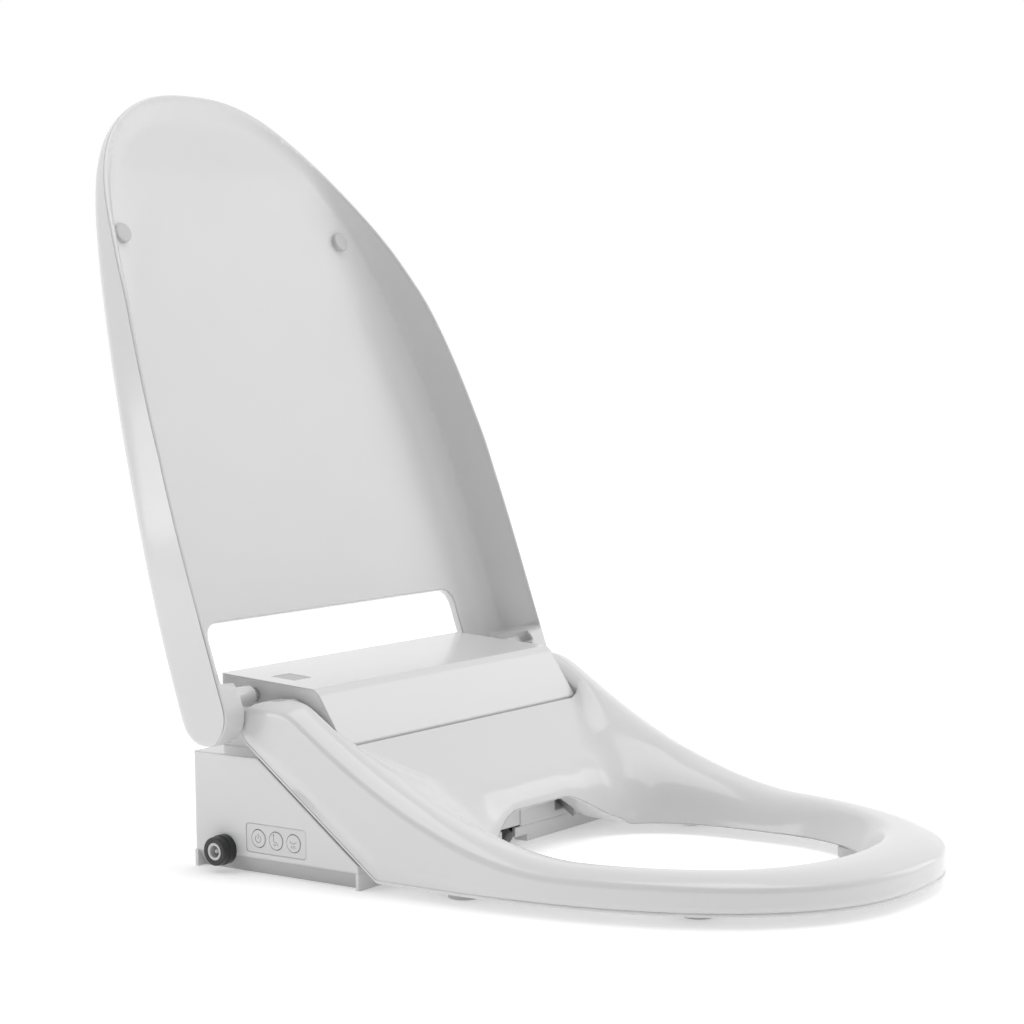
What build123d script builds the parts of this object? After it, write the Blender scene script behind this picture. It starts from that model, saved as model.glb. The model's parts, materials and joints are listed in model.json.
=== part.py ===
"""Electric bidet seat: a rear water unit with a hinged lid and a hinged seat ring.

Frame: X across, -Y towards the user, +Z up.  The underside that rests on the
bowl is z = 0 and the two fixing bolts straddle the origin along X.
"""
import math
import os

import numpy as np
from build123d import *

os.makedirs("parts", exist_ok=True)

# ---- driving dimensions (mm) -------------------------------------------------
HALF_SEAT = 179.5          # half width of the seat ring
HALF_BASE = 179.0          # half width of the rear unit
HALF_BOX = 147.0           # half width of the raised centre housing
HALF_LID = 202.0           # half width of the lid at its widest
SEAT_TIP = -443.0          # front of the ring
SEAT_BOT = 7.5             # underside of the ring
RING_TOP = 34.0            # top of the ring at the front
WING_TOP = 129.0           # top of the seat beside the centre housing
BASE_FRONT, BASE_REAR = -95.0, 64.0
SHOULDER = 86.5            # flat top beside the centre housing
SEAT_AXIS = (-2.0, 109.0)  # (y, z) of the seat hinge
LID_AXIS = (30.0, 127.0)   # (y, z) of the lid hinge
WING_R = 18.0              # rounded rear end of each seat wing
LID_LEAN = 108.85          # lid angle above the level-forward direction when open
LID_LEN = 505.0            # hinge to lid tip
LID_PANEL = 25.8           # inner panel above the hinge axis, lid level
LID_TOP = 34.0             # crown of the lid above the hinge axis
CUT_U, CUT_X = 62.4, 152.0  # rear cut-out of the lid: depth from the hinge, half width
NOTCH_Y, NOTCH_X = -58.5, 149.0
WALL = 3.0
PIN_R = 5.0
RUN = 0.05                 # radial running clearance
NOZZLE_TILT = 30.0
BUTTON_Y = (0.0, -17.0, -34.0)
BUTTON_Z, BUTTON_R = 27.3, 6.4
BOLT_SPACING = 140.0
INLET_Y, INLET_Z = 33.0, 16.0

PARTS = {}


def put(name, shape):
    PARTS[name] = shape


def box(x0, x1, y0, y1, z0, z1):
    return Pos((x0 + x1) / 2, (y0 + y1) / 2, (z0 + z1) / 2) * Box(abs(x1 - x0), abs(y1 - y0), abs(z1 - z0))


def cyl_x(y, z, r, x0, x1):
    return Pos((x0 + x1) / 2, y, z) * Rot(0, 90, 0) * Cylinder(r, abs(x1 - x0))


def cyl_y(x, z, r, y0, y1):
    return Pos(x, (y0 + y1) / 2, z) * Rot(90, 0, 0) * Cylinder(r, abs(y1 - y0))


def cyl_z(x, y, r, z0, z1):
    return Pos(x, y, (z0 + z1) / 2) * Cylinder(r, abs(z1 - z0))


def profile_x(points, x0, x1):
    """A (y, z) outline extruded from x0 to x1."""
    face = make_face(Polyline(*[(0, y, z) for y, z in points], close=True)).face()
    return Pos(x0, 0, 0) * extrude(face, abs(x1 - x0), dir=(1, 0, 0))


def plate_z(points, z0, z1):
    face = make_face(Polyline(*[(x, y) for x, y in points], close=True)).face()
    return Pos(0, 0, z0) * extrude(face, z1 - z0, dir=(0, 0, 1))


def smax(a, b, k):
    return 0.5 * (a + b + math.sqrt((a - b) ** 2 + k * k))


def smin(a, b, k):
    return 0.5 * (a + b - math.sqrt((a - b) ** 2 + k * k))


def step(t):
    t = min(1.0, max(0.0, t))
    return t * t * (3 - 2 * t)


# ---- seat surface ------------------------------------------------------------
RING_N, RING_YC = 2.35, -150.0     # outline: superellipse ahead of RING_YC, straight behind
HOLE_TOP = (131.0, -268.0, 133.0, 143.0, 2.2)   # half width, centre y, front, rear, power
HOLE_BOT = (114.0, -262.0, 120.0, 131.0, 2.2)
HOLE_REAR_N = 3.2                               # the rear corners of the hole are squarer


def superellipse(half, yc, front, rear, n, count=72):
    pts = []
    for i in range(count):
        a = 2 * math.pi * i / count
        c, s = math.cos(a), math.sin(a)
        reach, m = (rear, HOLE_REAR_N) if s > 0 else (front, n)
        pts.append((half * math.copysign(abs(c) ** (2 / m), c),
                yc + reach * math.copysign(abs(s) ** (2 / m), s)))
    return pts


def outline_half(y, inset=0.0):
    """Half width of the seat at y."""
    half, length = HALF_SEAT - inset, RING_YC - SEAT_TIP - inset
    t = (RING_YC - y) / length
    return half if t <= 0 else half * max(0.0, 1 - t ** RING_N) ** (1 / RING_N)


def ridge(y):
    t = max(0.0, (y + 260.0) / 230.0)
    return smin(RING_TOP + 95.0 * t ** 1.8, WING_TOP, 6.0)


def seat_top(x, y):
    """Height of the seat's top surface."""
    ax = abs(x)
    deck = smin(smax(45.0 + 0.70 * (y + 130.0), RING_TOP, 8.0), ridge(y), 2.0)
    crease = min(142.0, max(90.0, 142.0 + 1.17 * (y + 55.0)))
    z = deck + (ridge(y) - deck) * step((ax - crease) / (160.0 - crease))
    edge = outline_half(y) if y > SEAT_TIP else 0.0
    inward = edge - ax
    if y < RING_YC:
        t = ((RING_YC - y) / (RING_YC - SEAT_TIP)) ** RING_N + (ax / HALF_SEAT) ** RING_N
        inward = (1 - t ** (1 / RING_N)) * 200.0
    return z - 7.0 * max(0.0, 1 - inward / 22.0) ** 2


def field_solid(fn, x1, y0, y1, nx, ny, drop, floor=-60.0):
    """Everything under z = fn(x, y) - drop, down to floor."""
    xs, ys = np.linspace(-x1, x1, nx), np.linspace(y0, y1, ny)
    grid = [[Vector(x, y, fn(x, y) - drop) for y in ys] for x in xs]
    skin = Face.make_surface_from_array_of_points(grid, tol=0.05, smoothing=None, min_deg=3, max_deg=3)
    return extrude(skin, 220.0, dir=(0, 0, -1)) & box(-x1 + 1, x1 - 1, y0 + 1, y1 - 1, floor, 220)


def seat_plan(inset):
    """Plan outline of the seat with its notch, as a prism."""
    pts = []
    for i in range(61):
        a = -math.pi / 2 * i / 60
        c, s = math.cos(a), -math.sin(a)
        pts.append(((HALF_SEAT - inset) * abs(c) ** (2 / RING_N),
                    RING_YC - (RING_YC - SEAT_TIP - inset) * abs(s) ** (2 / RING_N)))
    right = [(HALF_SEAT - inset, 40.0)] + pts
    left = [(-x, y) for x, y in reversed(right)][1:]
    prism = plate_z(right + left, -5, 200)
    return prism - box(-NOTCH_X - inset, NOTCH_X + inset, NOTCH_Y - inset, 60, -10, 210)


SLOPE = math.atan2(98.0 - 16.0, 12.0 + 101.0)     # slope of the seam under the seat
SN, CS = math.sin(SLOPE), math.cos(SLOPE)


def seam(offset, y):
    """z at y of the line parallel to the seam, offset from the seat hinge."""
    return SEAT_AXIS[1] - offset / CS + (y - SEAT_AXIS[0]) * SN / CS


def seat_side(rise, reach):
    """Side profile of the seat: flat ring, sloped underside, rounded rear end."""
    drop = WING_R - rise
    bottom = SEAT_BOT + rise
    y_break = SEAT_AXIS[0] + (bottom - SEAT_AXIS[1] + drop / CS) * CS / SN
    pts = [(-470.0, bottom), (y_break, bottom)]
    for i in range(17):
        a = math.radians(-90 + 180 * i / 16) + SLOPE * (1 - i / 16)
        pts.append((SEAT_AXIS[0] + reach * math.cos(a) * 1.0, SEAT_AXIS[1] + reach * math.sin(a)))
    pts[2] = (SEAT_AXIS[0] + drop * SN, SEAT_AXIS[1] - drop * CS)
    pts += [(SEAT_AXIS[0], 170.0), (-470.0, 170.0)]
    return profile_x(pts, -190, 190)


def tapered_hole(top, bot, grow=0.0, z0=2.0, z1=40.0):
    def ring(spec, z):
        half, yc, front, rear, n = spec
        pts = superellipse(half + grow, yc, front + grow, rear + grow, n)
        return Wire([Spline(*[(x, y, z) for x, y in pts], periodic=True)])
    lo, hi = Face(ring(bot, z0)), Face(ring(top, z1))
    tall = Face(ring(top, z1 + 90))
    return loft([lo, hi], ruled=True) + loft([hi, tall], ruled=True)


hole = tapered_hole(HOLE_TOP, HOLE_BOT)
hole_in = tapered_hole(HOLE_TOP, HOLE_BOT, WALL)
POCKET_X = 70.0
ARCH_X, ARCH_FLAT, ARCH_RISE, ARCH_END = 100.0, 30.0, 28.5, -107.0


def arch(grow):
    """Low arch under the rear rim, highest in the middle and fading out towards both corners."""
    xs = np.linspace(-ARCH_X - grow, ARCH_X + grow, 27)
    top = [(x, 0, SEAT_BOT + grow + ARCH_RISE * (1 - step((abs(x) - grow - ARCH_FLAT) / (ARCH_X - ARCH_FLAT))))
           for x in xs]
    low = [top[-1], (xs[-1], 0, -10), (xs[0], 0, -10), top[0]]
    return Pos(0, -158, 0) * extrude(make_face(Spline(*top) + Polyline(*low)).face(), ARCH_END + 158, dir=(0, 1, 0))


def hollow(grow):
    """Room for the nozzle housing: an arch at the rim, a straight-sided pocket behind it."""
    side = [(-150 - grow, -10), (-150 - grow, 24.0 + grow), (-127 - grow / 3, 36.0 + grow),
            (NOTCH_Y + 5 + grow, 84.0 + grow), (NOTCH_Y + 5 + grow, -10)]
    front = profile_x(side, -ARCH_X - 8, ARCH_X + 8) & arch(grow)
    back = profile_x(side, -POCKET_X - grow, POCKET_X + grow) & box(-90, 90, ARCH_END - 1.0, 0, -12, 120)
    return front + back


pocket, pocket_in = hollow(0.0), hollow(3.0)

COVER_T = 2.0
top_field = field_solid(seat_top, 184.0, -450.0, 30.0, 47, 61, 0.0)
in_field = Pos(0, 0, -WALL) * top_field
seat_solid = seat_plan(0.0) & seat_side(0.0, WING_R) & top_field
seat_solid = seat_solid - hole - pocket
cavity = seat_plan(WALL) & seat_side(0.0, WING_R - WALL) & in_field
cavity = cavity - hole_in - pocket_in
hinge_block = [cyl_x(*SEAT_AXIS, 12.0, s * 145, s * 185) for s in (-1, 1)]
cavity = cavity - hinge_block[0] - hinge_block[1]
seat_shell = (seat_solid - cavity) & (seat_side(COVER_T, 60.0) + cyl_x(*SEAT_AXIS, WING_R + 1, -190, 190))
seat_shell = seat_shell - cyl_x(*SEAT_AXIS, PIN_R + RUN, -175.5, -140) - cyl_x(*SEAT_AXIS,
        PIN_R + RUN, 140, 175.5)
cover = seat_solid - seat_side(COVER_T - 0.02, 60.0) - cyl_x(*SEAT_AXIS, WING_R + 1.2, -190, 190)
put("seat_top_shell", seat_shell)
put("seat_bottom_cover", cover)


# ---- seat furniture ----------------------------------------------------------
HEAT_SIDE, HEAT_FRONT, HEAT_REAR = 22.0, 9.0, 30.0      # the track keeps clear of the rounded hole edge
HEAT_HOLES = [(h + HEAT_SIDE, yc, f + HEAT_FRONT, r + HEAT_REAR, n) for h, yc, f, r, n in (HOLE_TOP, HOLE_BOT)]
heat = seat_plan(9.0) & (Pos(0, 0, -WALL - 0.1) * top_field) & box(-180, 180, -440, -140, 12, 90)
heat = heat - Pos(0, 0, -WALL - 1.3) * top_field - tapered_hole(*HEAT_HOLES)
put("seat_heater", heat.solids().sort_by(SortBy.VOLUME)[-1])

FEET = [(s * x, y) for x, y in ((151.0, -168.0), (110.0, -334.0)) for s in (-1, 1)]
feet = []
for x, y in FEET:
    foot = cyl_z(x, y, 12.0, 0.0, SEAT_BOT)
    feet.append(fillet(foot.edges().filter_by(GeomType.CIRCLE).group_by(Axis.Z)[0].sort_by(SortBy.LENGTH)[-1:], 0.7))
put("seat_bumpers", Compound(children=[f.solids()[0] for f in feet]))

# ---- lid, modelled level with the hinge axis at the origin --------------------
LID_N, LID_UC = 2.5, 60.0


def lid_half(u, inset=0.0):
    half, length = HALF_LID - inset, LID_LEN - LID_UC - inset
    t = (u - LID_UC) / length
    return half if t <= 0 else half * max(0.0, 1 - t ** LID_N) ** (1 / LID_N)


def lid_plan(inset, back=40.0):
    pts = []
    for i in range(61):
        a = math.pi / 2 * i / 60
        c, s = math.cos(a), math.sin(a)
        pts.append(((HALF_LID - inset) * abs(c) ** (2 / LID_N),
                    -LID_UC - (LID_LEN - LID_UC - inset) * abs(s) ** (2 / LID_N)))
    right = [(HALF_LID - inset, back)] + pts
    left = [(-x, y) for x, y in reversed(right)][1:]
    return plate_z(right + left, -90, 90)


RIM = [(190.0, -18.6), (298.0, -12.9), (351.0, -3.5), (378.0, 3.1), (405.0, 10.7), (430.0, 17.5),
        (470.0, 26.5),
       (520.0, 31.0)]
LEG_C, LEG_R = (-8.0, 4.7), 23.3


def lid_side():
    """Side profile of the lid between its rim line and above its crown."""
    pts = []
    for i in range(25):
        a = math.radians(-90 + 180 * i / 24)
        pts.append((-LEG_C[0] + LEG_R * math.cos(a), LEG_C[1] + LEG_R * math.sin(a)))
    pts += [(4.0, 80.0), (-520.0, 80.0)]
    curve = Spline(*[(0, -u, w) for u, w in reversed(RIM)], tangents=[(0, 1, -0.1), (0, 1, 0)])
    arc = Polyline(*[(0, y, z) for y, z in [(-RIM[0][0], RIM[0][1])] + pts])
    close = Line(arc @ 1, curve @ 0)
    face = make_face([curve, arc, close]).face()
    return Pos(-210, 0, 0) * extrude(face, 420, dir=(1, 0, 0))


EDGE = [(-60.0, 28.0), (40.0, 27.0), (100.0, 23.4), (180.0, 17.4), (275.0, 14.5), (355.0, 19.0),
        (430.0, 30.0),
        # height of the crown's outer edge, by distance from the hinge
        (470.0, 35.0), (505.0, 37.5), (520.0, 38.0)]


def lid_crown(x, y):
    """Outer skin of the lid: a shallow dome that rises from the height of its outer edge."""
    ax, u = abs(x), -y
    edge = float(np.interp(u, [p[0] for p in EDGE], [p[1] for p in EDGE]))
    t = (ax / HALF_LID) ** LID_N + (max(0.0, u - LID_UC) / (LID_LEN - LID_UC)) ** LID_N
    inward = (1 - t ** (1 / LID_N)) * HALF_LID
    top = max(LID_TOP, edge + 1.5) + 2.0 * (1 - (ax / HALF_LID) ** 2)
    roll = max(0.0, 1 - inward / 55.0)
    return top - (top - edge) * roll ** 2.2


crown = field_solid(lid_crown, 208.0, -512.0, 45.0, 37, 49, 0.0, -80.0)
crown_in = Pos(0, 0, -WALL) * crown
cut = box(-CUT_X, CUT_X, -CUT_U, 60, -90, 90)
cut = fillet(cut.edges().filter_by(Axis.Z).group_by(Axis.Y)[0], 14.0)
leg_trim = box(-181.0, 181.0, -12.0, 60, -90, 22.0) + box(-181.0, 181.0, -1.0, 60, -90, 90)
lid_body = lid_plan(0.0) & lid_side() & crown
lid_body = lid_body - cut - leg_trim
inner = lid_plan(3.6) & crown_in & box(-210, 210, -520, 60, -90, 90)
# ahead of this the inner face curves out over the front of the ring
PANEL_END = 436.0
gap = box(-CUT_X - WALL, CUT_X + WALL, -CUT_U - WALL, 60, LID_PANEL - 3, 90)
inner_void = (inner & box(-210, 210, -PANEL_END, -15, LID_PANEL, 90)) - gap - leg_trim
below = (lid_plan(3.6) & box(-210, 210, -520, 60, -90, LID_PANEL)) - box(-181, 181, -12, 60, -90, 90)
below = below - box(-300, -180.9, -60, 60, -90, 90) - box(180.9, 300, -60, 60, -90, 90)
relief = profile_x([(-PANEL_END, 20.0), (-PANEL_END, LID_PANEL), (-448.0, 28.4), (-460.0, 30.4),
        (-480.0, 31.8),
                    (-503.0, 31.8), (-503.0, 20.0)], -200, 200) & lid_plan(3.6)
lid_shell = lid_body - inner_void - below - relief
for s in (-1, 1):
    lid_shell = lid_shell + (cyl_x(0, 0, 8.0, s * 152.5, s * 183.0))
    lid_shell = lid_shell - cyl_x(0, 0, PIN_R, s * 150, s * 195)
panel = lid_plan(3.75) & box(-210, 210, -PANEL_END + 0.15, -15.2, LID_PANEL + 0.15, LID_PANEL + 2.4)
panel = panel - box(-CUT_X - WALL - 0.15, CUT_X + WALL + 0.15, -CUT_U - WALL - 0.15, 60, -90, 90)
panel = panel & crown_in
HL = Pos(0, LID_AXIS[0], LID_AXIS[1]) * Rot(-LID_LEAN, 0, 0)
put("lid_shell", HL * lid_shell)
put("lid_inner_panel", HL * panel.solids().sort_by(SortBy.VOLUME)[-1])
LID_PAD_U, LID_PAD_X = 376.8, 130.0
pads = []
for s in (-1, 1):
    pad = Pos(s * LID_PAD_X, -LID_PAD_U, LID_PANEL - 2.4) * Cylinder(8.0, 5.0)
    pads.append(HL * fillet(pad.edges().filter_by(GeomType.CIRCLE).group_by(Axis.Z)[0], 1.2).solids()[0])
put("lid_bumpers", Compound(children=pads))

# ---- rear unit ---------------------------------------------------------------
GAP = 1.3                                  # between the seat's underside and the unit
NOSE_X = 62.0
SPLIT = 12.5                               # parting height of the lower shell
BOX_SIDE = [(BASE_REAR, 10.0), (BASE_REAR, 141.0), (-28.0, 135.0), (-33.0, 131.0), (-56.0, 96.0),
        (-56.0, 10.0)]


def base_outer(inset):
    """Body of the rear unit, offset inwards by inset."""
    i = inset
    y_low = SEAT_AXIS[0] + (SPLIT - 9.0 - SEAT_AXIS[1] + (WING_R + GAP + i) / CS) * CS / SN
    y_high = SEAT_AXIS[0] + (SHOULDER - i - SEAT_AXIS[1] + (WING_R + GAP + i) / CS) * CS / SN
    side = [(BASE_REAR - i, -10.0), (BASE_REAR - i, SHOULDER - i), (y_high, SHOULDER - i),
            (y_low, SPLIT - 9.0),
            (BASE_FRONT + i, seam(WING_R + GAP + i, BASE_FRONT + i)), (BASE_FRONT + i, -10.0)]
    side = [p for p in side if p[0] >= BASE_FRONT + i - 0.01]
    body = profile_x(side, -HALF_BASE + i, HALF_BASE - i)
    pts = [(BASE_REAR - i, 10.0), (BASE_REAR - i, 141.0 - i), (-28.0 + i * 0.8, 135.0 - i),
            (-33.0 + i * 0.95, 131.0 - i),
           (-56.0 + i, 96.0 - i * 0.3), (-56.0 + i, 10.0)]
    body = body + profile_x(pts, -HALF_BOX + i, HALF_BOX - i)
    nose = [(-40.0, 10.0), (-40.0, 66.0 - i), (BASE_FRONT + i, 36.0 - i), (BASE_FRONT + i, 6.0),
            (-40.0, 6.0)]
    return body + profile_x(nose, -NOSE_X + i, NOSE_X - i)


outer = base_outer(0.0)
hollow = base_outer(WALL)
upper = (outer - hollow) & box(-200, 200, -120, 90, SPLIT, 160)
rear_edges = upper.edges().filter_by(Axis.Z).group_by(Axis.Y)[-1]
try:
    upper = fillet(rear_edges, 2.5)
except Exception:
    pass
wing_room = cyl_x(*SEAT_AXIS, WING_R + GAP, HALF_BOX, 190) + cyl_x(*SEAT_AXIS, WING_R + GAP, -190,
        -HALF_BOX)
upper = upper - wing_room
for s in (-1, 1):                          # bosses that carry the hinge pins inside the box wall
    upper = upper + (cyl_x(*SEAT_AXIS, 9.0, s * 128, s * (HALF_BOX - 1)))
    upper = upper + (cyl_x(*LID_AXIS, 9.0, s * 128, s * (HALF_BOX - 1)) & box(-160, 160, -50,
            BASE_REAR - 1, 90, 139))
    upper = upper - cyl_x(*SEAT_AXIS, PIN_R, s * 120, s * 160) - cyl_x(*LID_AXIS, PIN_R + RUN,
            s * 120, s * 160)

# panel recess, buttons and inlet opening on the left side (x negative)
py0, py1 = BUTTON_Y[2] - 12.0, BUTTON_Y[0] + 12.0
pz0, pz1 = BUTTON_Z - 10.8, BUTTON_Z + 10.8


def rounded_x(y0, y1, z0, z1, r, x0, x1):
    b = box(x0, x1, y0, y1, z0, z1)
    return fillet(b.edges().filter_by(Axis.X), r)


upper = upper - rounded_x(py0, py1, pz0, pz1, 3.0, -HALF_BASE - 1, -HALF_BASE + 0.8)
panel_plate = rounded_x(py0 + 0.3, py1 - 0.3, pz0 + 0.3, pz1 - 0.3, 2.7, -HALF_BASE + 0.25,
        -HALF_BASE + 0.8)
for i, y in enumerate(BUTTON_Y):
    upper = upper - cyl_x(y, BUTTON_Z, BUTTON_R + 0.5, -HALF_BASE - 2, -HALF_BASE + 5)
    panel_plate = panel_plate - cyl_x(y, BUTTON_Z, BUTTON_R + 0.5, -HALF_BASE - 2, -HALF_BASE + 5)
put("button_panel", panel_plate)
for name, y in zip(("button_power", "button_rear_wash", "button_front_wash"), BUTTON_Y):
    cap = cyl_x(y, BUTTON_Z, BUTTON_R, -HALF_BASE - 0.3, -HALF_BASE + 3.6)
    cap = chamfer(cap.edges().filter_by(GeomType.CIRCLE).sort_by(Axis.X)[0:1], 0.35)
    cap = cap + cyl_x(y, BUTTON_Z, BUTTON_R + 1.1, -HALF_BASE + 3.6, -HALF_BASE + 4.6)
    cap = cap + cyl_x(y, BUTTON_Z, 2.0, -HALF_BASE + 4.6, -HALF_BASE + 6.2)
    put(name, cap)
upper = upper - cyl_x(INLET_Y, INLET_Z, 6.9, -HALF_BASE - 2, -HALF_BASE + 8)

# remote sensor window in the top of the box
SENSOR = (-120.0, 17.0, 19.0, 22.0)
top_z = 135.0 + 6.0 * (SENSOR[1] + 28.0) / 92.0
tilt = math.degrees(math.atan2(6.0, 92.0))
win = Pos(SENSOR[0], SENSOR[1], top_z - 0.9) * Rot(tilt, 0, 0) * Box(SENSOR[2], SENSOR[3], 1.6)
win = fillet(win.edges().filter_by(Axis.Z), 2.0) if win.edges().filter_by(Axis.Z) else win
upper = upper - Pos(SENSOR[0], SENSOR[1], top_z) * Rot(tilt, 0, 0) * Box(SENSOR[2] + 0.3,
        SENSOR[3] + 0.3, 3.4)
put("sensor_window", win)


# nozzle opening and gates in the front of the unit
GATE_Z0, GATE_AX = 14.2, 30.4              # lower edge and hinge height of the gates
GATES = {"nozzle_gate": (-15.0, 15.0), "dryer_gate": (-50.0, -32.0)}
for name, (x0, x1) in GATES.items():
    upper = upper - box(x0 - 0.5, x1 + 0.5, BASE_FRONT - 1, BASE_FRONT + WALL + 0.5, SPLIT - 1,
            GATE_AX + 2.2)
    upper = upper - cyl_x(BASE_FRONT + 1.5, GATE_AX, 1.05, x0 - 2.6, x1 + 2.6)
    flap = box(x0, x1, BASE_FRONT + 0.3, BASE_FRONT + 1.9, GATE_Z0, GATE_AX + 0.6)
    flap = flap + cyl_x(BASE_FRONT + 1.5, GATE_AX, 1.0, x0 - 2.2, x1 + 2.2)
    put(name, flap)
for s in (-1, 1):                          # thin sill under the gates, open where the nozzle passes
    upper = upper + box(s * 8.6, s * (NOSE_X - 1), BASE_FRONT, BASE_FRONT + WALL, SPLIT, SPLIT + 0.6)
axis_dir = (-math.cos(math.radians(NOZZLE_TILT)), -math.sin(math.radians(NOZZLE_TILT)))
TIP = (-95.0, 5.3)                         # (y, z) of the wash nozzle's tip when parked
NOZZLE_LEN, NOZZLE_R = 104.0, 6.0


def along(shape, start):
    """Place a +Z aligned shape so it runs back from the nozzle tip along its tilted axis."""
    y, z = TIP[0] - axis_dir[0] * start, TIP[1] - axis_dir[1] * start
    return Pos(0, y, z) * Rot(-(90 - NOZZLE_TILT), 0, 0) * shape


def rod(r, length):
    return Pos(0, 0, length / 2) * Cylinder(r, length)


wand = along(rod(NOZZLE_R, NOZZLE_LEN), 0.0)
wand = fillet(wand.edges().filter_by(GeomType.CIRCLE).sort_by(Axis.Y)[0:1], 2.2)
wand = wand - Pos(0, 0, 0) * along(Pos(0, -6.0, 9.0) * Rot(90, 0, 0) * Cylinder(2.0, 3.0), 0.0)
put("wash_nozzle", wand)
guide = along(Pos(0, 0, 34.0) * (Pos(0, 0, 28.0) * (Box(19, 17, 56) - Cylinder(NOZZLE_R + RUN, 60))), 0.0)
put("nozzle_guide", guide)

# lower shell with the undercut sides
lower = box(-HALF_BASE, HALF_BASE, BASE_FRONT, BASE_REAR, 0, SPLIT)
for s in (-1, 1):
    wedge = make_face(Polyline((s * (HALF_BASE + 1), 0, SPLIT - 0.1),
            (s * (HALF_BASE - 0.2), 0, SPLIT - 0.1),
                               (s * (HALF_BASE - 8.0), 0, -1), (s * (HALF_BASE + 1), 0,
                                       -1), close=True)).face()
    wedge = Pos(0, BASE_FRONT + 3.0, 0) * extrude(wedge, BASE_REAR - BASE_FRONT - 6.0, dir=(0, 1, 0))
    lower = lower - wedge
lower = lower - box(-HALF_BASE + 11, HALF_BASE - 11, BASE_FRONT + 3, BASE_REAR - 3, 7.5, SPLIT + 1)
lower = lower - box(-HALF_BASE + 11, HALF_BASE - 11, BASE_FRONT + 12, BASE_REAR - 4, -1, 5.0)
lower = lower - box(-24.0, 24.0, BASE_FRONT - 1, BASE_FRONT + 36, -1, 5.5)
lower = lower - box(-8.6, 8.6, BASE_FRONT - 1, BASE_FRONT + 42, -1, SPLIT + 1)
lower = lower - cyl_x(INLET_Y, INLET_Z, 6.9, -HALF_BASE - 2, -HALF_BASE + 14)
for s in (-1, 1):
    lower = lower - cyl_z(s * BOLT_SPACING / 2, 0, 13.0, 4, 9)
PLATE_T, SLOT_LEN, SLOT_R = 4.0, 30.0, 4.2
plate = box(-118, 118, -42, 40, 0, PLATE_T)
plate = fillet(plate.edges().filter_by(Axis.Z), 8.0)
for s in (-1, 1):
    slot = box(s * BOLT_SPACING / 2 - SLOT_LEN / 2 + SLOT_R, s * BOLT_SPACING / 2 + SLOT_LEN / 2 - SLOT_R,
               -SLOT_R, SLOT_R, -1, 6)
    for e in (-1, 1):
        slot = slot + cyl_z(s * BOLT_SPACING / 2 + e * (SLOT_LEN / 2 - SLOT_R), 0, SLOT_R, -1, 6)
    plate = plate - slot
SCREWS = [(sx * 92.0, sy) for sx in (-1, 1) for sy in (-30.0, 22.0)]
screws = []
for x, y in SCREWS:
    plate = plate + cyl_z(x, y, 4.0, PLATE_T, 5.0)
    plate = plate - cyl_z(x, y, 1.6, 1.2, 6)
    lower = lower - cyl_z(x, y, 1.9, 4, 9)
    screws.append(cyl_z(x, y, 1.6, 1.2, 7.5) + cyl_z(x, y, 3.2, 7.5, 9.5) - cyl_z(x, y, 1.2, 8.6, 10))
put("mounting_plate", plate)
put("base_lower_shell", lower)
put("base_upper_cover", upper)
put("plate_screws", Compound(children=[q.solids()[0] for q in screws]))

# water inlet on the left side
X0 = -HALF_BASE
FIT_R, FIT_BORE, FIT_OUT = 6.7, 4.4, 12.4     # inlet spigot: outer and bore radius, how far it stands out
fit = cyl_x(INLET_Y, INLET_Z, FIT_R, X0 - FIT_OUT, X0 + 20.0)
fit = fit - cyl_x(INLET_Y, INLET_Z, FIT_BORE, X0 - FIT_OUT - 1, X0 - 2.0)
fit = fit - cyl_x(INLET_Y, INLET_Z, 3.0, X0 - 3.0, X0 + 21.0)
fit = chamfer(fit.edges().filter_by(GeomType.CIRCLE).sort_by(Axis.X)[0:2], 0.4)
put("water_inlet_fitting", fit)
collar = cyl_x(INLET_Y, INLET_Z, 11.2, X0 - 0.2, X0 - 6.0) + cyl_x(INLET_Y, INLET_Z, 10.6, X0 - 5.9,
        X0 - 12.6)
collar = fillet(collar.edges().filter_by(GeomType.CIRCLE).sort_by(Axis.X)[0:1], 1.0)
put("inlet_collar", collar - cyl_x(INLET_Y, INLET_Z, FIT_R + 0.02, X0 - 20, X0 + 1))
put("inlet_check_valve", cyl_x(INLET_Y, INLET_Z, 2.9, X0 - 1.9, X0 + 8.0))
PARTS["base_upper_cover"] = PARTS["base_upper_cover"] - cyl_x(40, 24, 3.4, 170, 185)

# hinge pins and soft-close dampers
pins, lid_pins, dampers = [], [], []
for s in (-1, 1):
    pins.append(cyl_x(*SEAT_AXIS, PIN_R, s * 128.5, s * 175.0).solids()[0])
    lid_pins.append(cyl_x(*LID_AXIS, PIN_R, s * 128.5, s * 194.0).solids()[0])
    dampers.append(cyl_x(*SEAT_AXIS, 10.0, s * 88.0, s * 127.5).solids()[0])
    dampers.append(cyl_x(*LID_AXIS, 8.0, s * 88.0, s * 127.5).solids()[0])
put("seat_hinge_pins", Compound(children=pins))
put("lid_hinge_pins", Compound(children=lid_pins))
put("soft_close_dampers", Compound(children=dampers))

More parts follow.
